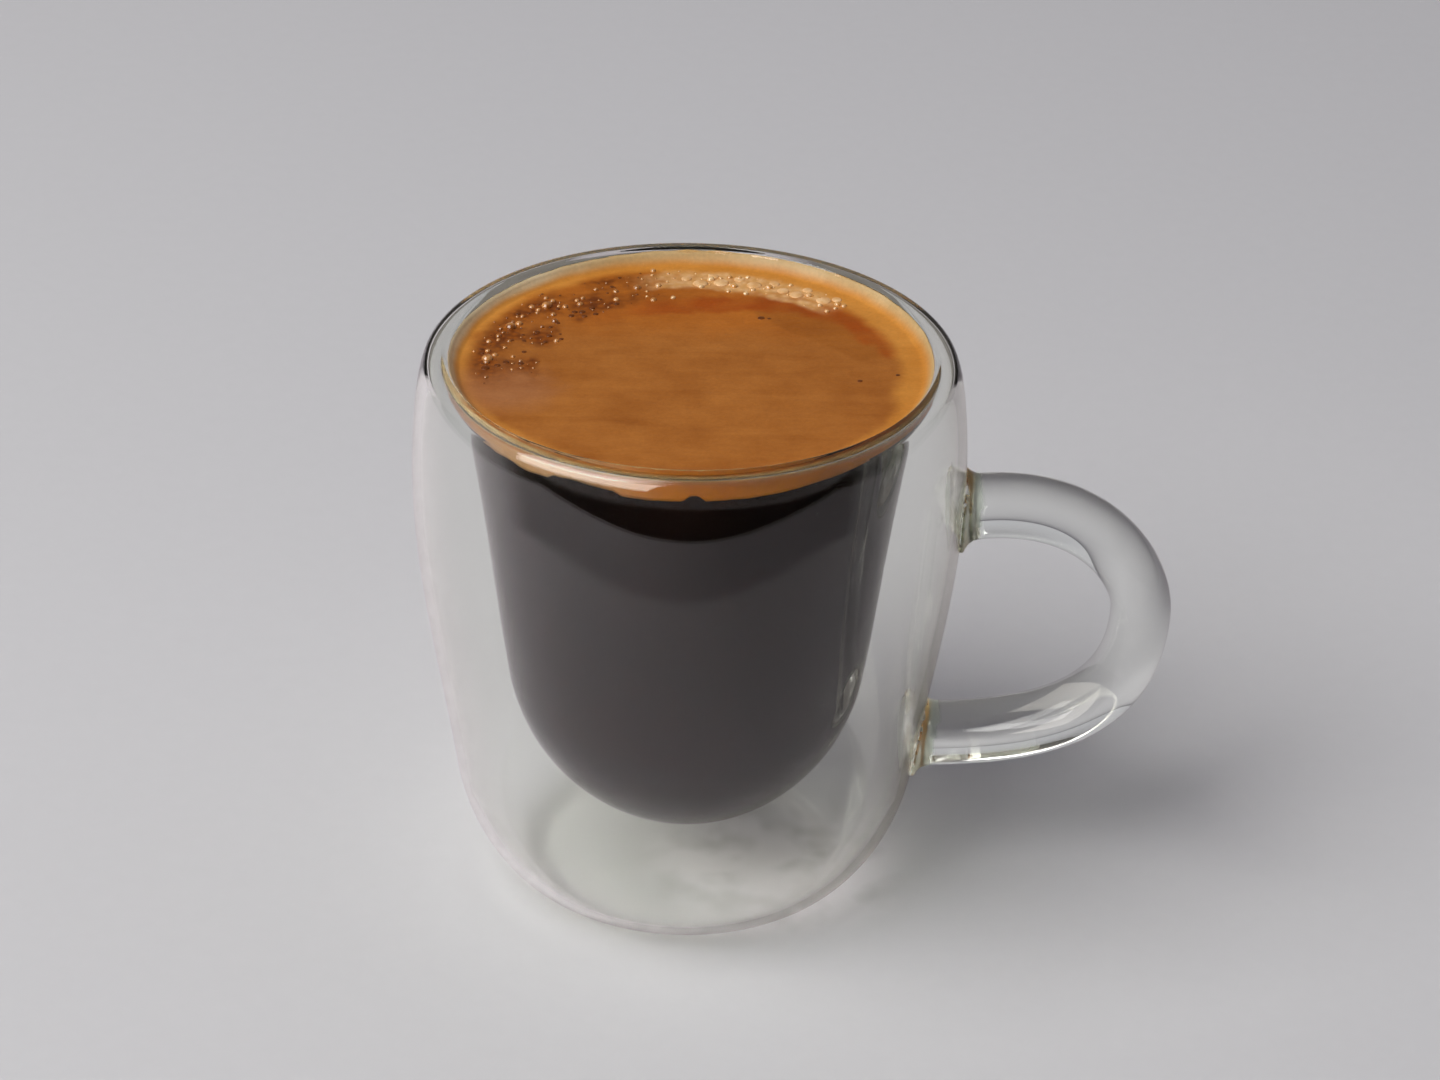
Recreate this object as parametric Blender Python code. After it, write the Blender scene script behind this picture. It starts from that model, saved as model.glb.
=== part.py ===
# A double espresso in its double-walled glass mug, for Blender 4.5.
# Lengths are in metres. The mug turns about Z, stands on Z = 0 and has its handle along +X.
from math import cos, hypot, pi, radians, sin

import bmesh
import bpy
from mathutils import Matrix, Vector
from mathutils.geometry import interpolate_bezier

MM = 0.001

# Outer wall: a flat foot with a small bevel, a leaning side, a belly near the top and a round shoulder
HEIGHT = 65.2 * MM
FOOT_RADIUS = 16.5 * MM
FOOT_BEVEL = 0.25 * MM
SIDE_RADIUS = 26.4 * MM
SIDE_HEIGHT = 14.0 * MM
SIDE_LEAN = 0.14
BELLY_RADIUS = 31.0 * MM
BELLY_HEIGHT = 50.6 * MM
WALL = 1.0 * MM

# Lip, where the two walls are fused: an arc outside, a narrow flat crest and an arc inside
LIP_OUTER_CENTRE = 28.0 * MM
LIP_OUTER_ROUNDING = 1.75 * MM
LIP_OUTER_START = 25
LIP_INNER_CENTRE = 27.5 * MM
LIP_INNER_ROUNDING = 0.8 * MM
LIP_INNER_START = 160

# Inner vessel, measured on its outer face
VESSEL_BOTTOM = 7.2 * MM
VESSEL_SIDE_RADIUS = 20.4 * MM
VESSEL_SIDE_HEIGHT = 26.0 * MM
VESSEL_SIDE_LEAN = 0.16
VESSEL_NECK_RADIUS = 26.0 * MM
VESSEL_NECK_HEIGHT = 62.0 * MM
VESSEL_NECK_LEAN = 0.25
VESSEL_WALL = 0.8 * MM

# Vent in the foot, which opens the space between the walls
VENT_RADIUS = 1.25 * MM
VENT_DISTANCE = 8.5 * MM

# Handle: an oval glass rod, bent in the plane Y = 0
ROD_HALF_THICKNESS = 3.4 * MM
ROD_HALF_WIDTH = 4.6 * MM
HANDLE_REACH = 51.6 * MM
HANDLE_BEND_HEIGHT = 34.0 * MM
UPPER_ROOT = (31.0 * MM, 46.5 * MM)
UPPER_SLOPE = 0.18
LOWER_ROOT = (26.85 * MM, 16.8 * MM)
LOWER_SLOPE = 0.03
ROOT_DEPTH = 3.8 * MM
COLLAR_LENGTH = 2.2 * MM
COLLAR_SWELL = 1.3 * MM

# Drink: espresso under its layer of crema
CREMA_LEVEL = 63.5 * MM
CREMA_DEPTH = 2.7 * MM
MENISCUS = 0.9 * MM
PIECE_GAP = 0.3 * MM

TURN_STEPS = 48
ROD_SIDES = 18


def at(radius, height):
    """A point of an outline, in the half-plane that is turned about Z."""
    return Vector((radius, 0.0, height))


def chain(*spans):
    """One outline from Bezier spans of start, two handles, end and number of steps."""
    points = []
    for start, leave, arrive, end, steps in spans:
        span = interpolate_bezier(start, leave, arrive, end, steps + 1)
        points += span[1:] if points else span
    return points


def beside(points, distance):
    """The outline moved to the left of its direction, with the radius drawn to the right."""
    moved = []
    last = len(points) - 1
    for number, point in enumerate(points):
        along = points[min(number + 1, last)] - points[max(number - 1, 0)]
        moved.append(point + distance * Vector((-along.z, 0.0, along.x)).normalized())
    return moved


def radius_at(points, height):
    """The radius of a rising outline at a height."""
    for below, above in zip(points, points[1:]):
        if below.z <= height <= above.z:
            share = (height - below.z) / (above.z - below.z)
            return below.x + share * (above.x - below.x)
    return points[-1].x


def lip_arc(centre, rounding, start, steps):
    """An arc of the lip that ends on its crest, with its start in degrees above the horizontal."""
    angles = [radians(start + (90 - start) * number / steps) for number in range(steps + 1)]
    middle = at(centre, HEIGHT - rounding)
    return [middle + rounding * at(cos(angle), sin(angle)) for angle in angles]


def lean_at(start):
    """The rising direction of the lip's outer arc at its start."""
    return at(-sin(radians(start)), cos(radians(start)))


def outer_face():
    """The mug's outer face, from the foot's bevel up to the lip."""
    foot = at(FOOT_RADIUS + FOOT_BEVEL, FOOT_BEVEL)
    side = at(SIDE_RADIUS, SIDE_HEIGHT)
    belly = at(BELLY_RADIUS, BELLY_HEIGHT)
    lip = lip_arc(LIP_OUTER_CENTRE, LIP_OUTER_ROUNDING, LIP_OUTER_START, 4)
    foot_pull = 4.0 * MM
    side_pull = 7.0 * MM
    shoulder_pull = 5.0 * MM
    lip_pull = 2.25 * MM
    third = (BELLY_HEIGHT - SIDE_HEIGHT) / 3
    lean = at(SIDE_LEAN, 1.0)
    below_lip = lip[0] - lip_pull * lean_at(LIP_OUTER_START)
    wall = chain(
        (foot, foot + at(foot_pull, 0.0), side - side_pull * lean, side, 6),
        (side, side + third * lean, belly - at(0.0, third), belly, 7),
        (belly, belly + at(0.0, shoulder_pull), below_lip, lip[0], 6),
    )
    return wall + lip[1:]


def vessel_face():
    """The inner vessel's outer face, from the middle of its bottom up to its neck."""
    bottom = at(0.0, VESSEL_BOTTOM)
    side = at(VESSEL_SIDE_RADIUS, VESSEL_SIDE_HEIGHT)
    neck = at(VESSEL_NECK_RADIUS, VESSEL_NECK_HEIGHT)
    bottom_pull = 9.0 * MM
    side_pull = 11.0 * MM
    third = (VESSEL_NECK_HEIGHT - VESSEL_SIDE_HEIGHT) / 3
    side_lean = at(VESSEL_SIDE_LEAN, 1.0)
    neck_lean = at(VESSEL_NECK_LEAN, 1.0)
    return chain(
        (bottom, bottom + at(bottom_pull, 0.0), side - side_pull * side_lean, side, 8),
        (side, side + third * side_lean, neck - third * neck_lean, neck, 6),
    )


def drink_face():
    """The face that holds the drink, from the middle of its floor up to the lip's crest."""
    inside = beside(vessel_face(), VESSEL_WALL)
    inside[0].x = 0.0
    neck = inside[-1]
    lip = lip_arc(LIP_INNER_CENTRE, LIP_INNER_ROUNDING, LIP_INNER_START, 3)
    neck_pull = 1.4 * MM
    lip_pull = 1.2 * MM
    above_neck = neck + neck_pull * at(VESSEL_NECK_LEAN, 1.0)
    below_lip = lip[0] + lip_pull * lean_at(LIP_INNER_START)
    flare = chain((neck, above_neck, below_lip, lip[0], 5))
    return inside + flare[1:] + lip[1:]


def gap_outline():
    """The space between the walls, up its outer side, under the lip and down the vessel."""
    outer_side = beside(outer_face(), WALL)
    vessel = vessel_face()
    top = outer_side[-1]
    neck = vessel[-1]
    top_pull = 0.5 * MM
    neck_pull = 1.5 * MM
    above_neck = neck + neck_pull * at(VESSEL_NECK_LEAN, 1.0)
    under_lip = chain((top, top - at(top_pull, 0.0), above_neck, neck, 5))
    floor_middle = at(0.0, WALL)
    return [floor_middle] + outer_side + under_lip[1:] + vessel[-2::-1]


def turned(name, outline):
    """A mesh turned about Z from an outline whose two ends lie on the axis."""
    shape = bmesh.new()
    corners = [shape.verts.new(point) for point in outline]
    edges = [shape.edges.new(pair) for pair in zip(corners, corners[1:])]
    outline_parts = corners + edges
    bmesh.ops.spin(shape, geom=outline_parts, axis=(0, 0, 1), angle=2 * pi, steps=TURN_STEPS, use_merge=True)
    bmesh.ops.remove_doubles(shape, verts=shape.verts, dist=0.001 * MM)
    bmesh.ops.recalc_face_normals(shape, faces=shape.faces)
    mesh = bpy.data.meshes.new(name)
    shape.to_mesh(mesh)
    shape.free()
    return mesh


def rod_stations():
    """Points along the handle's centre line, from inside the wall above to inside the wall below."""
    upper = at(*UPPER_ROOT)
    lower = at(*LOWER_ROOT)
    bend = at(HANDLE_REACH, HANDLE_BEND_HEIGHT)
    upper_lean = at(1.0, UPPER_SLOPE)
    lower_lean = at(1.0, LOWER_SLOPE)
    upper_pull = 14.4 * MM
    bend_pull_up = 5.0 * MM
    bend_pull_down = 15.7 * MM
    lower_pull = 10.5 * MM
    line = chain(
        (upper, upper + upper_pull * upper_lean, bend + at(0.0, bend_pull_up), bend, 64),
        (bend, bend - at(0.0, bend_pull_down), lower + lower_pull * lower_lean, lower, 64),
    )
    travelled = [0.0]
    for before, after in zip(line, line[1:]):
        travelled.append(travelled[-1] + (after - before).length)
    length = travelled[-1]
    collar_steps = [COLLAR_LENGTH * number / 4 for number in range(7)]
    free_length = length - 2 * collar_steps[-1]
    free_steps = 20
    spread = [collar_steps[-1] + free_length * number / free_steps for number in range(1, free_steps)]
    stops = collar_steps + spread + [length - step for step in reversed(collar_steps)]
    stations = [upper - ROOT_DEPTH * upper_lean]
    for stop in stops:
        number = min(sum(step < stop for step in travelled), len(line) - 1)
        stations.append(line[number])
    stations.append(lower - ROOT_DEPTH * lower_lean)
    return stations


def handle_mesh():
    """The oval rod along its centre line, flared where it meets the wall."""
    stations = rod_stations()
    wall = outer_face()
    shape = bmesh.new()
    rings = []
    for number, centre in enumerate(stations):
        before = stations[max(number - 1, 0)]
        after = stations[min(number + 1, len(stations) - 1)]
        along = (after - before).normalized()
        across = Vector((-along.z, 0.0, along.x))
        ring = []
        for side in range(ROD_SIDES):
            angle = 2 * pi * side / ROD_SIDES
            outward = cos(angle) * across + Vector((0.0, sin(angle), 0.0))
            reach = cos(angle) * ROD_HALF_THICKNESS * across + Vector((0.0, sin(angle) * ROD_HALF_WIDTH, 0.0))
            point = centre + reach
            from_wall = hypot(point.x, point.y) - radius_at(wall, point.z)
            nearness = min(1.0, max(0.0, 1.0 - from_wall / COLLAR_LENGTH))
            ring.append(shape.verts.new(point + COLLAR_SWELL * nearness**2 * outward))
        rings.append(ring)
    for ring, following in zip(rings, rings[1:]):
        for side in range(ROD_SIDES):
            beyond = (side + 1) % ROD_SIDES
            shape.faces.new((ring[side], ring[beyond], following[beyond], following[side]))
    shape.faces.new(rings[0])
    shape.faces.new(rings[-1])
    bmesh.ops.recalc_face_normals(shape, faces=shape.faces)
    mesh = bpy.data.meshes.new("handle")
    shape.to_mesh(mesh)
    shape.free()
    return mesh


def vent_mesh():
    """A short round bar through the floor of the outer wall."""
    shape = bmesh.new()
    place = Matrix.Translation((0.0, VENT_DISTANCE, WALL / 2))
    size = {"radius1": VENT_RADIUS, "radius2": VENT_RADIUS, "depth": 3 * WALL}
    bmesh.ops.create_cone(shape, cap_ends=True, segments=12, matrix=place, **size)
    mesh = bpy.data.meshes.new("vent")
    shape.to_mesh(mesh)
    shape.free()
    return mesh


def placed(name, mesh):
    """An object of this mesh, in the scene's own collection and shaded smooth."""
    mesh.shade_smooth()
    mesh.set_sharp_from_angle(angle=radians(35))
    thing = bpy.data.objects.new(name, mesh)
    bpy.context.scene.collection.objects.link(thing)
    return thing


def helper(name, mesh):
    """A shape that only joins or cuts another one, kept out of the picture."""
    thing = placed(name, mesh)
    thing.hide_render = True
    thing.display_type = "WIRE"
    return thing


def combine(thing, operation, other):
    """A Boolean of one object with another."""
    modifier = thing.modifiers.new(other.name, "BOOLEAN")
    modifier.operation = operation
    modifier.solver = "EXACT"
    modifier.object = other


def finish(thing, name, colour, roughness, transmission=0.0):
    """Gives the object a material of its own."""
    material = bpy.data.materials.new(name)
    material.use_nodes = True
    shader = material.node_tree.nodes["Principled BSDF"]
    shader.inputs["Base Color"].default_value = (*colour, 1.0)
    shader.inputs["Roughness"].default_value = roughness
    shader.inputs["Metallic"].default_value = 0.0
    shader.inputs["Transmission Weight"].default_value = transmission
    thing.data.materials.append(material)


def make_glass():
    """The mug: outer wall, inner vessel, lip and handle as one piece of glass."""
    flat_foot = [at(0.0, 0.0), at(FOOT_RADIUS, 0.0)]
    outline = flat_foot + outer_face() + drink_face()[::-1]
    mug = placed("glass_mug", turned("glass_mug", outline))
    combine(mug, "UNION", helper("handle_rod", handle_mesh()))
    combine(mug, "DIFFERENCE", helper("wall_gap", turned("wall_gap", gap_outline())))
    combine(mug, "DIFFERENCE", helper("vent", vent_mesh()))
    finish(mug, "clear_glass", (0.9, 0.92, 0.91), 0.02, transmission=1.0)


def make_coffee():
    """The espresso, up to the underside of the crema."""
    face = beside(drink_face(), PIECE_GAP)
    face[0].x = 0.0
    level = CREMA_LEVEL - CREMA_DEPTH - PIECE_GAP
    side = [point for point in face if point.z < level - 0.5 * MM]
    edge = at(radius_at(face, level), level)
    coffee = placed("coffee", turned("coffee", side + [edge, at(0.0, level)]))
    finish(coffee, "espresso", (0.02, 0.009, 0.005), 0.12)


def make_crema():
    """The crema, a thin layer that climbs a little where it meets the glass."""
    face = beside(drink_face(), PIECE_GAP)
    underside = CREMA_LEVEL - CREMA_DEPTH
    rise = CREMA_LEVEL + MENISCUS
    reach = 1.6 * MM
    side = [point for point in face if underside + 0.3 * MM < point.z < rise - 0.3 * MM]
    lower_edge = at(radius_at(face, underside), underside)
    upper_edge = at(radius_at(face, rise), rise)
    flat_edge = at(upper_edge.x - reach, CREMA_LEVEL)
    climb = chain(
        (upper_edge, upper_edge - at(0.6 * reach, 0.6 * MENISCUS), flat_edge + at(0.3 * reach, 0.0), flat_edge, 3),
    )
    outline = [at(0.0, underside), lower_edge] + side + climb + [at(0.0, CREMA_LEVEL)]
    crema = placed("crema", turned("crema", outline))
    finish(crema, "crema", (0.36, 0.13, 0.03), 0.4)


for thing in list(bpy.data.objects):
    bpy.data.objects.remove(thing, do_unlink=True)
make_glass()
make_coffee()
make_crema()
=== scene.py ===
from math import cos, pi, radians, sin

import bmesh
import bpy
import numpy as np
from mathutils import Matrix, Vector, noise


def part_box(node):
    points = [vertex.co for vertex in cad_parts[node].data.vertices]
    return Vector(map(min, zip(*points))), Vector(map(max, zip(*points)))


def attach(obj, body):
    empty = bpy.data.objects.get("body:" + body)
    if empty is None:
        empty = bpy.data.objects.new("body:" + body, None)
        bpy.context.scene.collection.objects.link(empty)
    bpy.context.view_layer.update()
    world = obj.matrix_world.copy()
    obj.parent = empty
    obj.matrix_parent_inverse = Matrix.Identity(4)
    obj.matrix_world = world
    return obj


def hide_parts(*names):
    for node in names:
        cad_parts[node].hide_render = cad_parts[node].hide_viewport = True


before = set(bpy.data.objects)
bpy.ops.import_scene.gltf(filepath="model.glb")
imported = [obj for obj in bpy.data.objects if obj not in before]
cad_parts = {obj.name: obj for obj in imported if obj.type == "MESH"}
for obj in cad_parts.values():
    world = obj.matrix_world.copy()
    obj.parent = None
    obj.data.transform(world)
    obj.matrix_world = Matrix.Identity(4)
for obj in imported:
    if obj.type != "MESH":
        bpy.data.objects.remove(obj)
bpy.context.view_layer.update()  # nodes glass_mug, coffee and crema, all on the body "root"
scene = bpy.context.scene
mm = 0.001
print("frame loaded")


# Small helpers for outlines, meshes and nodes

def bezier(start, leave, arrive, end, steps):
    t = np.linspace(0, 1, steps + 1)[:, None]
    return (1 - t)**3 * start + 3 * (1 - t)**2 * t * leave + 3 * (1 - t) * t**2 * arrive + t**3 * end


def joined(*runs):  # one outline from runs that start where the last one ended
    return np.vstack([runs[0]] + [run[1:] for run in runs[1:]])


def directions(line):
    along = np.gradient(line, axis=0)
    return along / np.linalg.norm(along, axis=1)[:, None]


def beside(line, distance):  # moved to the left of its direction, with the radius drawn to the right
    along = directions(line)
    return line + distance * np.column_stack([-along[:, 1], along[:, 0]])


def spot(radius, height):
    return np.array([radius, height])


def meshFrom(name, points, faces, smooth=True):
    mesh = bpy.data.meshes.new(name)
    mesh.from_pydata([tuple(point) for point in points], [], faces)
    mesh.update()
    if smooth:
        mesh.shade_smooth()
    return mesh


def turned(outline, turns):  # rows of one outline turned about Z, its ends on the axis become poles
    angles = np.arange(turns) * 2 * pi / turns
    points, rows = [], []
    for radius, height in outline:
        count = turns if radius > 1e-7 else 1
        rows.append([len(points) + number for number in range(count)])
        for angle in angles[:count]:
            points.append((radius * cos(angle), radius * sin(angle), height))
    faces = []
    for low, high in zip(rows, rows[1:]):
        for number in range(turns):
            beyond = (number + 1) % turns
            corners = [low[number % len(low)], low[beyond % len(low)]]
            corners += [high[beyond % len(high)], high[number % len(high)]]
            faces.append(tuple(dict.fromkeys(corners)))
    return points, faces


def tone(code):  # an sRGB hex value as linear light
    parts = [int(code[place:place + 2], 16) / 255 for place in (1, 3, 5)]
    return (*[part / 12.92 if part <= 0.04045 else ((part + 0.055) / 1.055)**2.4 for part in parts], 1.0)


def add(tree, kind, values=None, **settings):  # a node with its settings, its values and its links
    node = tree.nodes.new(kind)
    for name, value in settings.items():
        setattr(node, name, value)
    for socket, value in (values or {}).items():
        if isinstance(value, bpy.types.NodeSocket):
            tree.links.new(value, node.inputs[socket])
        else:
            node.inputs[socket].default_value = value
    return node


def material(name):
    made = bpy.data.materials.new(name)
    made.use_nodes = True
    made.node_tree.nodes.clear()
    return made, made.node_tree


def placed(name, mesh):
    thing = bpy.data.objects.new(name, mesh)
    scene.collection.objects.link(thing)
    return thing


def piece(name, mesh, finish, slot, *nodes):  # rides on the body and stands for the nodes named
    thing = placed(name, mesh)
    if finish.name not in mesh.materials:
        mesh.materials.append(finish)
    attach(thing, "root")
    if nodes:
        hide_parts(*nodes)
    return thing


# Forms of the mug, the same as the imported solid's without the foot's small bevel and its vent

_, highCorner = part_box("glass_mug")
mug = {
    "height": highCorner.z,
    "bellyRadius": highCorner.y,
    "bellyHeight": 50.6 * mm,
    "footRadius": 16.5 * mm,
    "sideRadius": 26.4 * mm,
    "sideHeight": 14.0 * mm,
    "sideLean": 0.14,
    "wall": 1.0 * mm,
    "lipOuter": (28.0 * mm, 1.75 * mm, 25),
    "lipInner": (27.5 * mm, 0.8 * mm, 160),
    "vesselBottom": 7.2 * mm,
    "vesselSide": (20.4 * mm, 26.0 * mm, 0.16),
    "vesselNeck": (26.0 * mm, 62.0 * mm, 0.25),
    "vesselWall": 0.8 * mm,
    "turns": 256,
    "clear": "#fcfdfb",
    "inDepth": ("#eff1e5", 7.0),  # what thick glass lets through, and how much it takes per metre
}


def lipArc(side, first, last, steps):  # a round edge of the lip, its angles counted from the horizontal
    radius, rounding, _ = mug[side]
    angles = np.radians(np.linspace(first, last, steps + 1))
    centre = spot(radius, mug["height"] - rounding)
    return centre + rounding * np.column_stack([np.cos(angles), np.sin(angles)])


def outerFace():
    foot = spot(mug["footRadius"], 0)
    side = spot(mug["sideRadius"], mug["sideHeight"])
    belly = spot(mug["bellyRadius"], mug["bellyHeight"])
    lean = spot(mug["sideLean"], 1)
    third = (mug["bellyHeight"] - mug["sideHeight"]) / 3
    lipStart = mug["lipOuter"][2]
    lip = lipArc("lipOuter", lipStart, 90, 10)
    shoulderLean = spot(-sin(radians(lipStart)), cos(radians(lipStart)))
    return joined(
        bezier(foot, foot + spot(4.0 * mm, 0), side - 7.0 * mm * lean, side, 22),
        bezier(side, side + third * lean, belly - spot(0, third), belly, 16),
        bezier(belly, belly + spot(0, 5.0 * mm), lip[0] - 2.25 * mm * shoulderLean, lip[0], 20),
        lip,
    )


def vesselFace():
    bottom = spot(0, mug["vesselBottom"])
    sideRadius, sideHeight, sideLean = mug["vesselSide"]
    neckRadius, neckHeight, neckLean = mug["vesselNeck"]
    side = spot(sideRadius, sideHeight)
    neck = spot(neckRadius, neckHeight)
    third = (neckHeight - sideHeight) / 3
    return joined(
        bezier(bottom, bottom + spot(9.0 * mm, 0), side - 11.0 * mm * spot(sideLean, 1), side, 28),
        bezier(side, side + third * spot(sideLean, 1), neck - third * spot(neckLean, 1), neck, 12),
    )


def drinkFace():
    inside = beside(vesselFace(), mug["vesselWall"])
    inside[0, 0] = 0
    neck = inside[-1]
    lipEnd = mug["lipInner"][2]
    lip = lipArc("lipInner", lipEnd, 90, 8)
    rimLean = spot(sin(radians(lipEnd)), -cos(radians(lipEnd)))
    neckLean = spot(mug["vesselNeck"][2], 1)
    return joined(
        inside,
        bezier(neck, neck + 1.4 * mm * neckLean, lip[0] - 1.2 * mm * rimLean, lip[0], 14),
        lip,
    )


def gapOutline():
    outerSide = beside(outerFace(), mug["wall"])
    vessel = vesselFace()
    top, neck = outerSide[-1], vessel[-1]
    neckLean = spot(mug["vesselNeck"][2], 1)
    return joined(
        np.vstack([spot(0, mug["wall"]), outerSide]),
        bezier(top, top - spot(0.5 * mm, 0), neck + 1.5 * mm * neckLean, neck, 16),
        vessel[::-1],
    )


handle = {
    "halfThickness": 3.4 * mm,
    "halfWidth": 4.6 * mm,
    "reach": highCorner.x - 3.4 * mm,
    "bendHeight": 34.0 * mm,
    "upperRoot": (31.0 * mm, 46.5 * mm, 0.18),
    "lowerRoot": (26.85 * mm, 16.8 * mm, 0.03),
    "rootDepth": 3.8 * mm,
    "filletRadius": 2.0 * mm,
    "sides": 56,
    "stations": 120,
    "crowding": 0.11,  # how much closer the stations lie at both ends, for the fillets
    "jointBlur": 0.28,
    "jointTint": "#d3dccd",
}


def handleLine():  # the rod's centre line, from inside the wall above to inside the wall below
    upperRadius, upperHeight, upperSlope = handle["upperRoot"]
    lowerRadius, lowerHeight, lowerSlope = handle["lowerRoot"]
    upper = spot(upperRadius, upperHeight)
    lower = spot(lowerRadius, lowerHeight)
    bend = spot(handle["reach"], handle["bendHeight"])
    upperLean = spot(1, upperSlope)
    lowerLean = spot(1, lowerSlope)
    line = joined(
        bezier(upper, upper + 14.4 * mm * upperLean, bend + spot(0, 5.0 * mm), bend, 400),
        bezier(bend, bend - spot(0, 15.7 * mm), lower + 10.5 * mm * lowerLean, lower, 400),
    )
    depth = handle["rootDepth"]
    line = np.vstack([upper - depth * upperLean, line, lower - depth * lowerLean])
    travelled = np.append(0, np.cumsum(np.linalg.norm(np.diff(line, axis=0), axis=1)))
    middle = np.linspace(0, 1, handle["stations"])
    shares = middle - handle["crowding"] * np.sin(2 * pi * middle)
    stops = shares * travelled[-1]
    return np.column_stack([np.interp(stops, travelled, line[:, axis]) for axis in (0, 1)])


def handleRod():
    line = handleLine()
    along = directions(line)
    wall = outerFace()
    angles = np.arange(handle["sides"]) * 2 * pi / handle["sides"]
    fillet = handle["filletRadius"]
    points = []
    for (radius, height), (outward, upward) in zip(line, along):
        across = np.array([-upward, 0, outward])
        for angle in angles:
            way = cos(angle) * across + np.array([0, sin(angle), 0])
            sideways = np.array([0, sin(angle) * handle["halfWidth"], 0])
            reach = cos(angle) * handle["halfThickness"] * across + sideways
            point = np.array([radius, 0, height]) + reach
            fromWall = np.hypot(point[0], point[1]) - np.interp(point[2], wall[:, 1], wall[:, 0])
            left = np.clip(fillet - fromWall, 0, fillet * 0.93)
            points.append(point + (fillet - np.sqrt(fillet**2 - left**2)) * way)
    sides = handle["sides"]
    faces = []
    for row in range(len(line) - 1):
        for side in range(sides):
            beyond = (side + 1) % sides
            here, there = row * sides, (row + 1) * sides
            faces.append((here + side, there + side, there + beyond, here + beyond))
    faces.append(tuple(range(sides)))
    faces.append(tuple(range(len(points) - 1, len(points) - 1 - sides, -1)))
    return points, faces


def glassMesh():
    outline = np.vstack([spot(0, 0), outerFace(), drinkFace()[::-1]])
    body = placed("body", meshFrom("body", *turned(outline, mug["turns"])))
    helpers = [
        ("UNION", placed("rod", meshFrom("rod", *handleRod()))),
        ("DIFFERENCE", placed("gap", meshFrom("gap", *turned(gapOutline(), mug["turns"])))),
    ]
    for operation, other in helpers:
        modifier = body.modifiers.new(other.name, "BOOLEAN")
        modifier.operation = operation
        modifier.solver = "EXACT"
        modifier.object = other
    made = bpy.data.meshes.new_from_object(body.evaluated_get(bpy.context.evaluated_depsgraph_get()))
    for thing in [body] + [other for _, other in helpers]:
        bpy.data.objects.remove(thing)
    made.name = "glass mug"
    points = np.array([vertex.co for vertex in made.vertices])
    wall = outerFace()
    fromWall = np.hypot(points[:, 0], points[:, 1]) - np.interp(points[:, 2], wall[:, 1], wall[:, 0])
    joint = (fromWall > 0.02 * mm) * (fromWall < handle["filletRadius"])
    made.attributes.new("joint", "FLOAT", "POINT").data.foreach_set("value", joint.astype(np.float32))
    made.shade_smooth()
    made.set_sharp_from_angle(angle=radians(50))
    return made


# Borosilicate glass, blown and fire-polished: clear, with a faint green where it is thick
def borosilicate():
    made, tree = material("borosilicate glass")
    place = add(tree, "ShaderNodeTexCoord")
    waves = add(tree, "ShaderNodeTexNoise", {
        "Vector": place.outputs["Object"],
        "Scale": 1 / (9 * mm),
        "Detail": 1.0,
    })
    relief = add(tree, "ShaderNodeBump", {
        "Height": waves.outputs[0],
        "Strength": 0.2,
        "Distance": 0.06 * mm,
    })
    joint = add(tree, "ShaderNodeAttribute", attribute_name="joint")  # where the rod was fused on
    blur = add(tree, "ShaderNodeMath", {
        0: joint.outputs["Fac"],
        1: handle["jointBlur"],
    }, operation="MULTIPLY")
    tint = add(tree, "ShaderNodeMix", {
        "Factor": joint.outputs["Fac"],
        "A": tone(mug["clear"]),
        "B": tone(handle["jointTint"]),
    }, data_type="RGBA")
    shader = add(tree, "ShaderNodeBsdfPrincipled", {
        "Base Color": tint.outputs[2],
        "Roughness": blur.outputs[0],
        "IOR": 1.45,
        "Transmission Weight": 1.0,
        "Normal": relief.outputs[0],
    })
    colour, density = mug["inDepth"]
    absorption = add(tree, "ShaderNodeVolumeAbsorption", {"Color": tone(colour), "Density": density})
    add(tree, "ShaderNodeOutputMaterial", {
        "Surface": shader.outputs[0],
        "Volume": absorption.outputs[0],
    })
    return made


glass = piece("glassMug", glassMesh(), borosilicate(), "clear_glass", "glass_mug")
print("glass mug made:", len(glass.data.polygons), "faces")


# Drink: espresso under its crema. Both reach a little into the wall, so that no air shows between

drink = {
    "level": 63.5 * mm,
    "coffeeTop": 61.6 * mm,
    "creamBottom": 60.9 * mm,
    "intoWall": 0.05 * mm,
    "creamIntoWall": 0.09 * mm,
    "turns": 480,
    "rings": 104,
    "edge": (  # azimuth in degrees and height in mm of the crema's lower edge, with a notch at the front
        (-180, 60.3), (-160, 60.0), (-150, 59.9), (-141, 60.3), (-132, 60.1), (-126, 60.4), (-124, 61.0),
        (-118, 61.1), (-108, 60.9), (-106, 60.3), (-99, 60.25), (-91, 60.4), (-89.4, 61.1), (-87.4, 61.15),
        (-85.6, 60.45), (-70, 60.6), (-58, 60.95), (-40, 61.1), (-25, 61.3), (0, 60.9), (30, 60.6),
        (60, 61.1), (90, 60.7), (120, 60.9), (150, 60.4), (180, 60.3),
    ),
    "edgeWobble": 0.09 * mm,
    "filmWobble": 0.06 * mm,
    "film": (  # the same for the top of the film that climbs the glass
        (-180, 64.75), (-160, 64.9), (-130, 65.05), (-90, 65.1), (-50, 65.05), (-20, 64.85), (0, 64.7),
        (40, 64.9), (90, 64.95), (125, 64.75), (150, 64.65), (180, 64.75),
    ),
    "filmWidth": 0.14 * mm,
}


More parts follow.
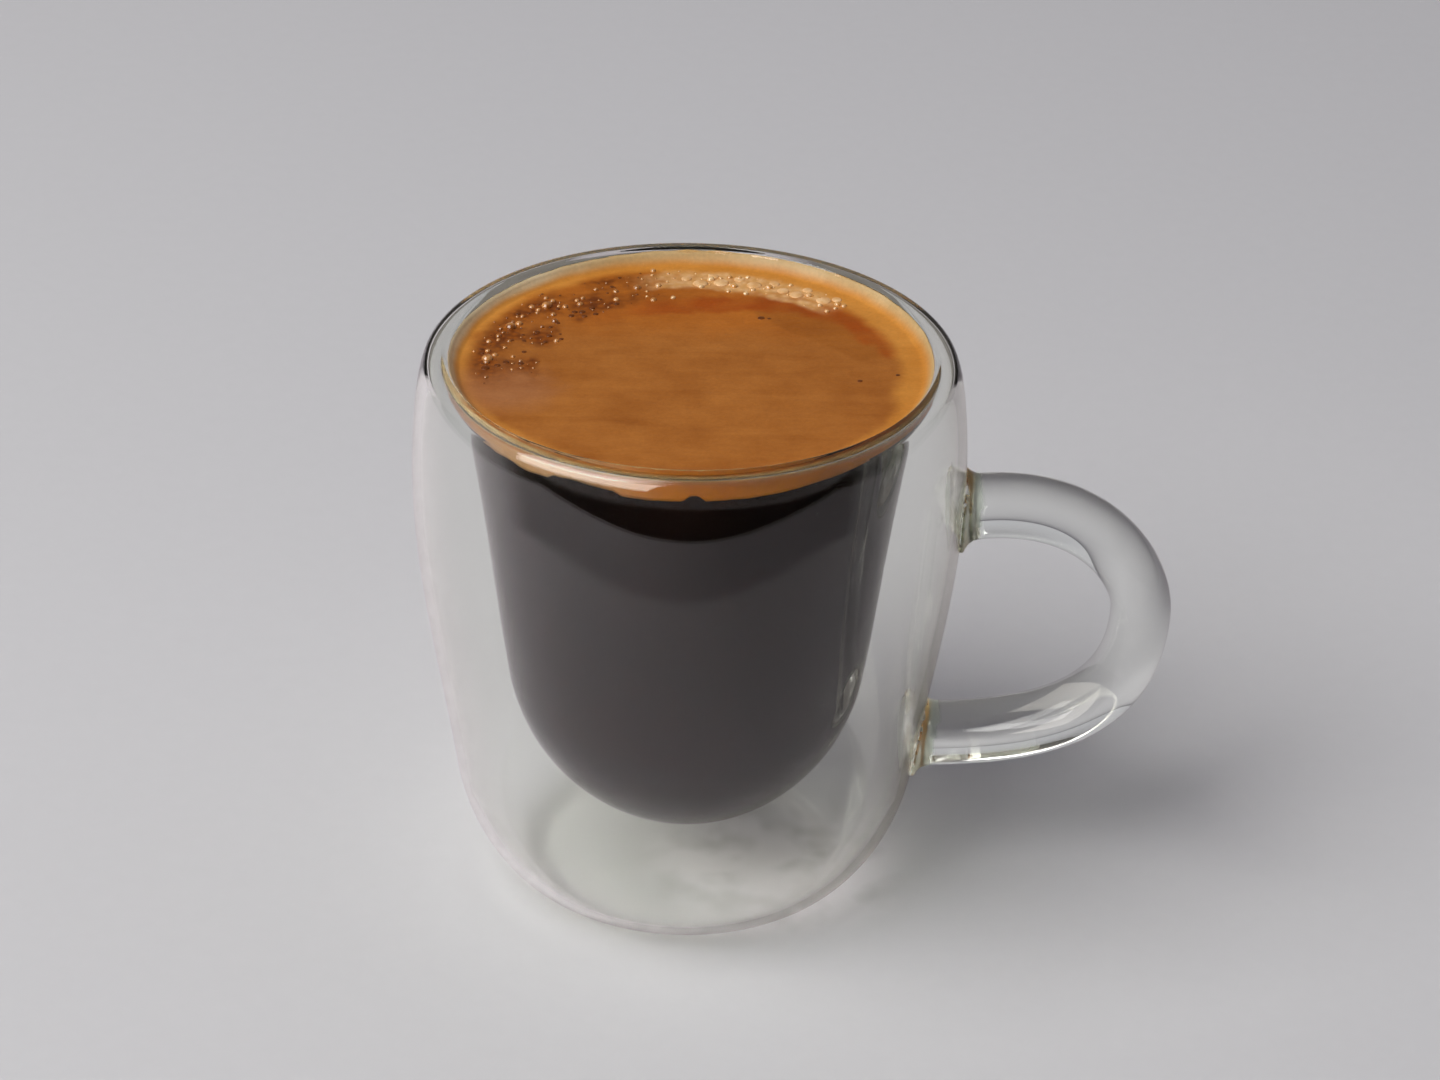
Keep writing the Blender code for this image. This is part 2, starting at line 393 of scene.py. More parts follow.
# Espresso: nearly black, with a red-brown that shows where the light falls on its side
def espresso():
    made, tree = material("espresso")
    place = add(tree, "ShaderNodeTexCoord")
    clouds = add(tree, "ShaderNodeTexNoise", {
        "Vector": place.outputs["Object"],
        "Scale": 1 / (14 * mm),
        "Detail": 2.0,
    })
    spread = add(tree, "ShaderNodeMapRange", {
        "Value": clouds.outputs[0],
        "From Min": 0.35,
        "From Max": 0.65,
    })
    colour = add(tree, "ShaderNodeMix", {
        "Factor": spread.outputs[0],
        "A": tone("#1c130f"),
        "B": tone("#241612"),
    }, data_type="RGBA")
    shader = add(tree, "ShaderNodeBsdfPrincipled", {
        "Base Color": colour.outputs[2],
        "Roughness": 0.3,
        "Specular IOR Level": 0.0,
    })
    add(tree, "ShaderNodeOutputMaterial", {"Surface": shader.outputs[0]})
    return made


def coffeeMesh():
    face = beside(drinkFace(), -drink["intoWall"])
    face[0, 0] = 0
    level = drink["coffeeTop"]
    side = face[face[:, 1] < level - 0.1 * mm]
    edge = spot(np.interp(level, face[:, 1], face[:, 0]), level)
    return meshFrom("coffee", *turned(np.vstack([side, edge, spot(0, level)]), 192))


coffee = piece("espressoBody", coffeeMesh(), espresso(), "espresso", "coffee")


# Crema: fine foam, satin. Each mask is a vertex attribute, and its tint is laid over the ones before it
crema = {
    "base": ("#ae6c2b", "#97571b"),
    "roughness": 0.42,
    "tints": {  # mask: light and dark tint, and how much of it shows
        "warm": ("#b8691a", "#a65a10", 0.8),
        "shade": ("#9c5a18", "#905114", 0.6),
        "band": ("#a54b06", "#914102", 0.95),
        # the rim tint is a painted glow: the crema's edge lighter and more orange where light through the glass
        # falls on it
        "rimGlow": ("#cf8d3c", "#c07c2c", 1.0),
        "pale": ("#e0b27c", "#d29d5c", 1.0),
        "side": ("#dd8c20", "#cb7918", 1.0),
        # the paler side at the front left is partly paler foam and partly painted light, where the lamps face
        # the crema under the lip's highlight
        "paleAndLitSide": ("#d8b68c", "#c69e70", 0.85),
        "blush": ("#ad7448", "#9c6238", 0.8),
        "froth": ("#8f4a09", "#632c03", 0.95),
        "film": ("#ccb080", "#bd9c66", 1.0),
        # the film on the left is painted lighter, against the shade that falls on the inner wall there
        "litFilm": ("#efe0bc", "#e2cda2", 0.8),
    },
    "streakLength": 14.0 * mm,
    "streakWidth": 2.6 * mm,
    "streakShare": 0.4,
    "grain": 0.45 * mm,
    "bandCourse": (
        (-13.0, 11.5), (-8.0, 13.8), (-2.0, 15.2), (3.8, 16.2), (11.0, 16.4), (17.7, 13.0), (22.6, 5.0),
    ),
    "patch": ((8.3, 11.6), (14.9, 0.4), (22.8, 3.9), (17.7, 12.5), (11.0, 16.0), (3.8, 15.7)),
}


def ease(value, start, end):  # 0 before start, 1 after end, smooth between, either way round
    share = np.clip((value - start) / (end - start), 0, 1)
    return share * share * (3 - 2 * share)


def ripple(x, y, size, seed):  # smooth noise of about this size, from -1 to 1
    places = zip((x / size).ravel(), (y / size).ravel())
    return np.array([noise.noise(Vector((u, v, seed))) for u, v in places]).reshape(x.shape)


def inPatch(x, y):  # distance inside the darker patch, negative outside it
    corners = np.array(crema["patch"]) * mm
    middle = corners.mean(axis=0)
    depth = np.full(x.shape, 1.0)
    for first, second in zip(corners, np.roll(corners, -1, axis=0)):
        along = (second - first) / np.linalg.norm(second - first)
        inward = np.array([-along[1], along[0]])
        inward *= np.sign(np.dot(middle - first, inward))
        depth = np.minimum(depth, (x - first[0]) * inward[0] + (y - first[1]) * inward[1])
    return depth


def nearBand(x, y):  # distance from the darker orange band's middle line
    course = np.array(crema["bandCourse"]) * mm
    nearest = np.full(x.shape, 1.0)
    for first, second in zip(course, course[1:]):
        along = second - first
        fromX, fromY = x - first[0], y - first[1]
        share = np.clip((fromX * along[0] + fromY * along[1]) / along.dot(along), 0, 1)
        nearest = np.minimum(nearest, np.hypot(fromX - share * along[0], fromY - share * along[1]))
    return nearest


def creamMasks(x, y, height):  # lengths in mm, azimuths in degrees, and each mask from 0 to 1
    radius = np.hypot(x, y) / mm
    azimuth = np.degrees(np.arctan2(y, x)) % 360
    wobble = 1.3 * ripple(x, y, 4.2 * mm, 3.0) + 0.6 * ripple(x, y, 1.5 * mm, 8.0)
    fine = ripple(x, y, 0.8 * mm, 21.0)
    right = np.maximum(ease(azimuth, 120, 70), ease(azimuth, 325, 350))
    # the rim's painted glow of light through the glass reaches further in on the right side
    glowStart = 24.6 - 1.9 * right + 0.5 * wobble
    behind = ease(azimuth, 84, 104) * ease(azimuth, 200, 180)
    outward = ease(radius + wobble, 16.2, 18.0) * ease(radius + 0.6 * wobble, 25.2, 23.6)
    foamy = behind * outward * np.clip(0.66 + 0.9 * wobble, 0, 1)
    froth = foamy * (0.25 + 0.75 * ease(azimuth, 98, 120))
    back = ease(azimuth, 40, 52) * ease(azimuth, 112, 96)
    pale = back * ease(radius + 0.7 * wobble, 19.3, 20.5) * ease(radius + 0.5 * wobble, 24.6, 23.4)
    pale = pale * np.clip(0.9 + 0.7 * ripple(x, y, 1.3 * mm, 44.0), 0, 1)
    band = ease(nearBand(x, y) / mm + 0.9 * wobble + 0.4 * fine, 2.7, 0.9) * ease(x / mm, -14, 0)
    band = band * np.clip(0.80 + 0.9 * ripple(x, y, 3.2 * mm, 51.0), 0, 1)
    above = (height - drink["level"]) / mm
    side = ease(above, -0.25, -0.6)
    climbed = above + 0.08 * wobble
    # partly painted light: the crema's side is paler at the front left, facing the lamps
    frontLeft = ease(azimuth, 172, 190) * ease(azimuth, 268, 240)
    # painted light: the film is lightened on the left, where the inner wall is in shade
    left = ease(azimuth, 105, 140) * ease(azimuth, 250, 215)
    return {
        "shade": ease(inPatch(x, y) / mm + 0.35 * wobble + 0.3 * fine, -0.3, 0.5),
        "warm": ease(y / mm + 1.5 * wobble, 4, 15),
        "band": band,
        "rimGlow": ease(radius, glowStart - 0.7, glowStart + 1.3),
        "pale": pale,
        "blush": ease(np.hypot(x / mm + 20.5, (y / mm + 6.0)) + wobble, 8.0, 2.5),
        "froth": froth,
        "bubbly": np.maximum(foamy, pale) * ease(above, -0.5, -0.2),
        "pitted": froth * ease(above, -0.5, -0.2),
        "side": side,
        "paleAndLitSide": side * frontLeft,
        "film": ease(climbed, 0.05, 1.0),
        "litFilm": ease(climbed, 0.1, 0.8) * left,
    }


def creamMesh():
    turns = drink["turns"]
    angles = np.arange(turns) * 2 * pi / turns
    degrees = (np.degrees(angles) + 180) % 360 - 180
    around = [noise.noise(Vector((14 * cos(angle), 14 * sin(angle), 5))) for angle in angles]
    under = np.interp(degrees, *zip(*drink["edge"])) * mm + drink["edgeWobble"] * np.array(around)
    top = np.interp(degrees, *zip(*drink["film"])) * mm + drink["filmWobble"] * np.array(around)
    face = beside(drinkFace(), -drink["creamIntoWall"])
    face = face[: np.argmax(face[:, 1]) + 1]
    level = drink["level"]

    def wallRadius(height):
        return np.interp(height, face[:, 1], face[:, 0])

    bottom = drink["creamBottom"]
    rows = [
        (np.full(turns, 9 * mm), np.full(turns, bottom)),
        (wallRadius(under) - 2 * mm, (under + bottom) / 2),
    ]
    for share in np.linspace(0, 1, 12):
        height = under + share * (top - under)
        rows.append((wallRadius(height), height))
    inner = wallRadius(level) - 0.6 * mm
    for share in np.linspace(0, 1, 9):
        drop = (1 - share)**2.6
        skin = drink["filmWidth"] * (1 - share) + (0.6 * mm) * share**1.5
        height = level + (top - level) * drop
        rows.append((wallRadius(height) - skin, height))
    for share in np.linspace(0, 1, drink["rings"])[1:-1]:
        rows.append((np.full(turns, inner * (1 - share)), np.full(turns, level)))
    radii, heights = (np.array([row[part] for row in rows]) for part in (0, 1))
    x, y = radii * np.cos(angles), radii * np.sin(angles)
    masks = creamMasks(x, y, heights)
    onTop = np.arange(len(rows))[:, None] > 14  # past the rows of the underside and the edge
    swells = 0.030 * ripple(x, y, 2.6 * mm, 1.0)
    froth = (0.02 + 0.05 * masks["bubbly"]) * ripple(x, y, 0.75 * mm, 12.0)
    heights = heights + onTop * (swells + froth) * mm * ease(radii / mm, 26.2, 25.4)
    points = np.stack([x, y, heights], axis=2).reshape(-1, 3)
    points = np.vstack([points, (0, 0, bottom), (0, 0, level)])
    place = np.arange(len(rows) * turns).reshape(len(rows), turns)
    beyond = np.roll(place, -1, axis=1)
    faces = np.stack([place[:-1], beyond[:-1], beyond[1:], place[1:]], axis=2).reshape(-1, 4).tolist()
    faces += [(len(points) - 2, beyond[0, number], place[0, number]) for number in range(turns)]
    faces += [(len(points) - 1, place[-1, number], beyond[-1, number]) for number in range(turns)]
    mesh = meshFrom("crema", points.tolist(), faces)
    for name, mask in masks.items():
        values = np.append(mask.ravel(), (0, 0)).astype(np.float32)
        mesh.attributes.new(name, "FLOAT", "POINT").data.foreach_set("value", values)
    return mesh


def creamFoam():
    made, tree = material("crema foam")
    place = add(tree, "ShaderNodeTexCoord")
    lengthwise = add(tree, "ShaderNodeMapping", {
        "Vector": place.outputs["Object"],
        "Scale": (1 / crema["streakLength"], 1 / crema["streakWidth"], 1 / crema["streakWidth"]),
    })
    streaks = add(tree, "ShaderNodeTexNoise", {
        "Vector": lengthwise.outputs[0],
        "Scale": 1.0,
        "Detail": 4.0,
        "Roughness": 0.6,
        "Distortion": 0.8,
    })
    clouds = add(tree, "ShaderNodeTexNoise", {
        "Vector": place.outputs["Object"],
        "Scale": 1 / (6 * mm),
        "Detail": 3.0,
        "Roughness": 0.55,
    })
    grain = add(tree, "ShaderNodeTexNoise", {
        "Vector": place.outputs["Object"],
        "Scale": 1 / crema["grain"],
        "Detail": 3.0,
        "Roughness": 0.7,
    })
    cells = add(tree, "ShaderNodeTexVoronoi", {
        "Vector": place.outputs["Object"],
        "Scale": 1 / (0.7 * mm),
    }, feature="SMOOTH_F1")
    both = add(tree, "ShaderNodeMix", {
        "Factor": crema["streakShare"],
        "A": clouds.outputs[0],
        "B": streaks.outputs[0],
    }, data_type="FLOAT")
    spread = add(tree, "ShaderNodeMapRange", {
        "Value": both.outputs[0],
        "From Min": 0.35,
        "From Max": 0.65,
    })
    colour = add(tree, "ShaderNodeMix", {
        "Factor": spread.outputs[0],
        "A": tone(crema["base"][0]),
        "B": tone(crema["base"][1]),
    }, data_type="RGBA")
    coarse = add(tree, "ShaderNodeMapRange", {
        "Value": cells.outputs["Distance"],
        "From Min": 0.15,
        "From Max": 0.6,
    })
    for name, (light, dark, share) in crema["tints"].items():
        mask = add(tree, "ShaderNodeAttribute", attribute_name=name)
        amount = add(tree, "ShaderNodeMath", {0: mask.outputs["Fac"], 1: share}, operation="MULTIPLY")
        pattern = coarse if name in ("froth", "pale") else spread
        tint = add(tree, "ShaderNodeMix", {
            "Factor": pattern.outputs[0],
            "A": tone(light),
            "B": tone(dark),
        }, data_type="RGBA")
        colour = add(tree, "ShaderNodeMix", {
            "Factor": amount.outputs[0],
            "A": colour.outputs[2],
            "B": tint.outputs[2],
        }, data_type="RGBA")
    lightness = add(tree, "ShaderNodeMapRange", {
        "Value": grain.outputs[0],
        "From Min": 0.3,
        "From Max": 0.7,
        "To Min": 0.92,
        "To Max": 1.07,
    })
    grained = add(tree, "ShaderNodeMix", {
        "Factor": 1.0,
        "A": colour.outputs[2],
        "B": lightness.outputs[0],
    }, data_type="RGBA", blend_type="MULTIPLY")
    relief = add(tree, "ShaderNodeBump", {
        "Height": grain.outputs[0],
        "Strength": 0.35,
        "Distance": 0.08 * mm,
    })
    shader = add(tree, "ShaderNodeBsdfPrincipled", {
        "Base Color": grained.outputs[2],
        "Roughness": crema["roughness"],
        "IOR": 1.34,
        "Specular IOR Level": 0.35,
        "Normal": relief.outputs[0],
    })
    add(tree, "ShaderNodeOutputMaterial", {"Surface": shader.outputs[0]})
    return made


cream = piece("cremaLayer", creamMesh(), creamFoam(), "crema", "crema")
print("drink made:", len(cream.data.polygons), "faces in the crema")


# Bubbles: fine bubbles and pits are scattered by the crema's masks, the large ones are listed

bubbles = {
    "fine": {
        "Spacing": 0.95 * mm,
        "Density": 0.8e6,
        "Smallest": 0.11 * mm,
        "Largest": 0.40 * mm,
        "Flatness": 0.9,
        "Seed": 4,
        "Mask": "bubbly",
    },
    "pits": {
        "Spacing": 1.10 * mm,
        "Density": 0.8e6,
        "Smallest": 0.10 * mm,
        "Largest": 0.45 * mm,
        "Flatness": 0.35,
        "Seed": 9,
        "Mask": "pitted",
    },
    "large": (  # x, y and radius in mm, here and below
        (-20.4, 8.9, 0.62), (-19.5, 9.7, 0.42), (-22.6, 0.9, 0.64), (-21.8, 1.8, 0.34), (-18.3, 14.1, 0.36),
        (-16.6, 14.4, 0.62), (-16.0, 15.7, 0.34), (-15.8, 12.2, 0.34), (-14.5, 14.3, 0.36), (-17.6, 12.6, 0.26),
        (-8.9, 18.5, 0.34), (-8.8, 16.4, 0.36), (-6.5, 19.6, 0.46), (-4.1, 20.3, 0.38), (0.8, 20.2, 0.36),
        (4.6, 20.6, 0.42), (8.6, 20.4, 0.46), (13.1, 18.5, 0.44), (16.4, 16.4, 0.40), (1.9, 22.2, 0.44),
        (-12.6, 16.6, 0.28), (-11.2, 18.9, 0.30), (-19.2, 11.6, 0.28), (-21.6, 5.6, 0.26),
    ),
    "lumps": (
        (0.7, 21.1, 0.86), (3.1, 21.4, 0.90), (6.9, 20.9, 0.88), (10.2, 19.6, 0.70), (11.7, 18.7, 0.84),
        (14.8, 17.3, 0.88), (5.2, 22.4, 0.66), (9.2, 21.4, 0.62), (13.0, 19.9, 0.60), (16.3, 17.6, 0.58),
        (-0.9, 22.3, 0.60), (2.2, 23.0, 0.62),
    ),
    "holes": (
        (7.7, 12.5, 0.42), (8.6, 12.4, 0.22), (18.6, -2.6, 0.30), (22.8, -1.0, 0.26), (-17.4, 7.8, 0.34),
        (-16.4, 5.4, 0.26), (-18.6, 2.8, 0.30), (-20.5, 0.2, 0.40), (-11.0, 12.7, 0.34), (-9.4, 19.8, 0.26),
        (-22.7, -1.3, 0.50), (-8.7, 15.4, 0.34), (-21.4, -0.6, 0.36), (-15.2, 10.2, 0.30), (-13.4, 13.1, 0.36),
        (-18.8, 5.6, 0.26), (-14.8, 7.4, 0.20), (-23.4, 3.2, 0.30),
    ),
    "largeFlatness": 0.85,  # height over width
    "lumpFlatness": 0.27,
    "holeFlatness": 0.25,
}


# Bubble film: clear skin over brown foam, so a small sharp light sits on each one
def bubbleFilm():
    made, tree = material("crema bubble film")
    place = add(tree, "ShaderNodeTexCoord")
    axes = add(tree, "ShaderNodeSeparateXYZ", {0: place.outputs["Object"]})
    paler = add(tree, "ShaderNodeMapRange", {
        "Value": axes.outputs["X"],
        "From Min": -10 * mm,
        "From Max": 2 * mm,
    })
    spots = add(tree, "ShaderNodeTexNoise", {
        "Vector": place.outputs["Object"],
        "Scale": 1 / (0.9 * mm),
        "Detail": 1.0,
    })
    spread = add(tree, "ShaderNodeMapRange", {
        "Value": spots.outputs[0],
        "From Min": 0.38,
        "From Max": 0.62,
    })
    brown = add(tree, "ShaderNodeMix", {
        "Factor": spread.outputs[0],
        "A": tone("#8a4c14"),
        "B": tone("#c98d50"),
    }, data_type="RGBA")
    cream = add(tree, "ShaderNodeMix", {
        "Factor": spread.outputs[0],
        "A": tone("#cf9550"),
        "B": tone("#ecc690"),
    }, data_type="RGBA")
    colour = add(tree, "ShaderNodeMix", {
        "Factor": paler.outputs[0],
        "A": brown.outputs[2],
        "B": cream.outputs[2],
    }, data_type="RGBA")
    shader = add(tree, "ShaderNodeBsdfPrincipled", {
        "Base Color": colour.outputs[2],
        "Roughness": 0.12,
        "IOR": 1.34,
        "Coat Weight": 1.0,
        "Coat Roughness": 0.03,
        "Coat IOR": 1.6,
    })
    add(tree, "ShaderNodeOutputMaterial", {"Surface": shader.outputs[0]})
    return made


# Pale foam: soft lumps of close cream bubbles, with hardly any shine
def paleFoam():
    made, tree = material("pale crema foam")
    place = add(tree, "ShaderNodeTexCoord")
    spots = add(tree, "ShaderNodeTexNoise", {
        "Vector": place.outputs["Object"],
        "Scale": 1 / (1.1 * mm),
        "Detail": 2.0,
    })
    spread = add(tree, "ShaderNodeMapRange", {
        "Value": spots.outputs[0],
        "From Min": 0.38,
        "From Max": 0.62,
    })
    colour = add(tree, "ShaderNodeMix", {
        "Factor": spread.outputs[0],
        "A": tone("#d8a468"),
        "B": tone("#eac08c"),
    }, data_type="RGBA")
    grain = add(tree, "ShaderNodeTexNoise", {
        "Vector": place.outputs["Object"],
        "Scale": 1 / (0.25 * mm),
        "Detail": 2.0,
    })
    relief = add(tree, "ShaderNodeBump", {
        "Height": grain.outputs[0],
        "Strength": 0.3,
        "Distance": 0.05 * mm,
    })
    shader = add(tree, "ShaderNodeBsdfPrincipled", {
        "Base Color": colour.outputs[2],
        "Roughness": 0.38,
        "IOR": 1.34,
        "Normal": relief.outputs[0],
    })
    add(tree, "ShaderNodeOutputMaterial", {"Surface": shader.outputs[0]})
    return made


# Burst bubbles: small hollows in which the dark espresso below shows
def burstHollow():
    made, tree = material("burst crema hollow")
    place = add(tree, "ShaderNodeTexCoord")
    spots = add(tree, "ShaderNodeTexNoise", {
        "Vector": place.outputs["Object"],
        "Scale": 1 / (0.5 * mm),
        "Detail": 1.0,
    })
    colour = add(tree, "ShaderNodeMix", {
        "Factor": spots.outputs[0],
        "A": tone("#4a2206"),
        "B": tone("#7c4112"),
    }, data_type="RGBA")
    shader = add(tree, "ShaderNodeBsdfPrincipled", {
        "Base Color": colour.outputs[2],
        "Roughness": 0.35,
        "IOR": 1.34,
    })
    add(tree, "ShaderNodeOutputMaterial", {"Surface": shader.outputs[0]})
    return made


def scatterTree():
    tree = bpy.data.node_groups.new("frothScatter", "GeometryNodeTree")
    sockets = (
        ("Foam", "Geometry"), ("Spacing", "Float"), ("Density", "Float"), ("Smallest", "Float"),
        ("Largest", "Float"), ("Flatness", "Float"), ("Seed", "Int"), ("Mask", "String"), ("Finish", "Material"),
    )
    for name, kind in sockets:
        tree.interface.new_socket(name, in_out="INPUT", socket_type="NodeSocket" + kind)
    tree.interface.new_socket("Froth", in_out="OUTPUT", socket_type="NodeSocketGeometry")
    given = add(tree, "NodeGroupInput").outputs
    mask = add(tree, "GeometryNodeInputNamedAttribute", {"Name": given["Mask"]}, data_type="FLOAT")
    points = add(tree, "GeometryNodeDistributePointsOnFaces", {
        "Mesh": given["Foam"],
        "Distance Min": given["Spacing"],
        "Density Max": given["Density"],
        "Density Factor": mask.outputs["Attribute"],
        "Seed": given["Seed"],
    }, distribute_method="POISSON")
    chance = add(tree, "FunctionNodeRandomValue", {"Seed": given["Seed"]}, data_type="FLOAT")
    # few large, many small
    rare = add(tree, "ShaderNodeMath", {
        0: chance.outputs[1],
        1: 2.5,
    }, operation="POWER")
    size = add(tree, "ShaderNodeMapRange", {
        "Value": rare.outputs[0],
        "To Min": given["Smallest"],
        "To Max": given["Largest"],
    })
    height = add(tree, "ShaderNodeMath", {
        0: size.outputs[0],
        1: given["Flatness"],
    }, operation="MULTIPLY")
    scale = add(tree, "ShaderNodeCombineXYZ", {
        0: size.outputs[0],
        1: size.outputs[0],
        2: height.outputs[0],
    })
    ball = add(tree, "GeometryNodeMeshIcoSphere", {"Radius": 1.0, "Subdivisions": 2})
    balls = add(tree, "GeometryNodeInstanceOnPoints", {
        "Points": points.outputs["Points"],
        "Instance": ball.outputs["Mesh"],
        "Scale": scale.outputs[0],
    })
    real = add(tree, "GeometryNodeRealizeInstances", {0: balls.outputs[0]})
    smooth = add(tree, "GeometryNodeSetShadeSmooth", {"Geometry": real.outputs[0]})
    finished = add(tree, "GeometryNodeSetMaterial", {
        "Geometry": smooth.outputs[0],
        "Material": given["Finish"],
    })
    add(tree, "NodeGroupOutput", {0: finished.outputs[0]})
    return tree


def scattered(name, tree, values):  # a plain mesh of what the tree scatters over the crema
    source = placed(name, cream.data.copy())
    modifier = source.modifiers.new("scatter", "NODES")
    modifier.node_group = tree
    for socket in tree.interface.items_tree:
        if socket.in_out == "INPUT" and socket.name in values:
            modifier[socket.identifier] = values[socket.name]
    made = bpy.data.meshes.new_from_object(source.evaluated_get(bpy.context.evaluated_depsgraph_get()))
    bpy.data.objects.remove(source)
    masks = [*crema["tints"], "bubbly", "pitted"]
    for attribute in [item.name for item in made.attributes if item.name in masks]:
        made.attributes.remove(made.attributes[attribute])
    return made


def ballMesh(name, places, flatness):  # one round bubble at each place, half sunk in the foam
    shape = bmesh.new()
    for x, y, radius in places:
        size = Matrix.Diagonal((radius * mm, radius * mm, radius * flatness * mm, 1))
        middle = Matrix.Translation((x * mm, y * mm, drink["level"]))
        bmesh.ops.create_icosphere(shape, subdivisions=3, radius=1, matrix=middle @ size)
    mesh = bpy.data.meshes.new(name)
    shape.to_mesh(mesh)
    shape.free()
    mesh.shade_smooth()
    return mesh


film, hollow, froth = bubbleFilm(), burstHollow(), scatterTree()
made = (
    ("fineBubbles", scattered("fineBubbles", froth, {**bubbles["fine"], "Finish": film}), film),
    ("frothPits", scattered("frothPits", froth, {**bubbles["pits"], "Finish": hollow}), hollow),
    ("largeBubbles", ballMesh("largeBubbles", bubbles["large"], bubbles["largeFlatness"]), film),
    ("softLumps", ballMesh("softLumps", bubbles["lumps"], bubbles["lumpFlatness"]), paleFoam()),
    ("burstHollows", ballMesh("burstHollows", bubbles["holes"], bubbles["holeFlatness"]), hollow),
)
for name, mesh, finish in made:
    piece(name, mesh, finish, "crema")
    print(name, "made:", len(mesh.polygons), "faces")


# Stage: a pale sheet to stand on, two large soft lights from the left, a room and a camera

stage = {
    "sheetColour": "#cfcfd0",
    "sheetFront": -0.200,
    "sheetLeft": -0.34,
    "sheetRight": 0.34,
    "floorSize": 6.0,
    "beyondSheet": (0.01, 0.01, 0.01, 1),  # linear light; only mirrored rays see it, a painted dark reflection
    "keyPlace": (-0.56, -0.38, 0.95),
    "keySize": (0.90, 0.80),
    "keyRadiance": 5.85,
    "keyColour": "#fffefc",
    "stripPlace": (-0.60, -0.62, 0.46),
    "stripSize": (1.05, 0.54),
    "stripRadiance": 5.7,
    "stripColour": "#fffaf0",
    "fibreSize": 2.5 * mm,
    # the sheet's painted colour in reflections, paler and pinker than the sheet itself
    "mirroredColour": "#e7e1e9",
    "mirroredFrom": -0.10,  # painted shade in reflections: the mirrored sheet darkens from here on the left, towards the right
    "mirroredTo": 0.04,
    "mirroredShade": (0.0, 0.45),
    "ringCentre": 9.0 * mm,  # painted shade: rays mirrored after going deep into the glass see the floor dark past a ring about this point
    "ringRadii": (77.2 * mm, 78.3 * mm),
    "ringSides": (25 * mm, -5 * mm),  # and the ring fades out between these, towards the back
    # a painted pool of light on the sheet under the mug
    "gatheredCentre": (10 * mm, -3 * mm, 0),
    "gatheredRadii": (18 * mm, 7 * mm),
    "gatheredColour": "#f4f1f6",
    "cloudSize": 7 * mm,
    "roomLevels": (0.04, 0.25),
    "roomFront": -0.6,
    "roomLift": 0.28,
    "roomTint": "#f3edff",
    "mirroredRoomTint": "#dcd4ca",
    "backdrop": "#b9b9bd",
}
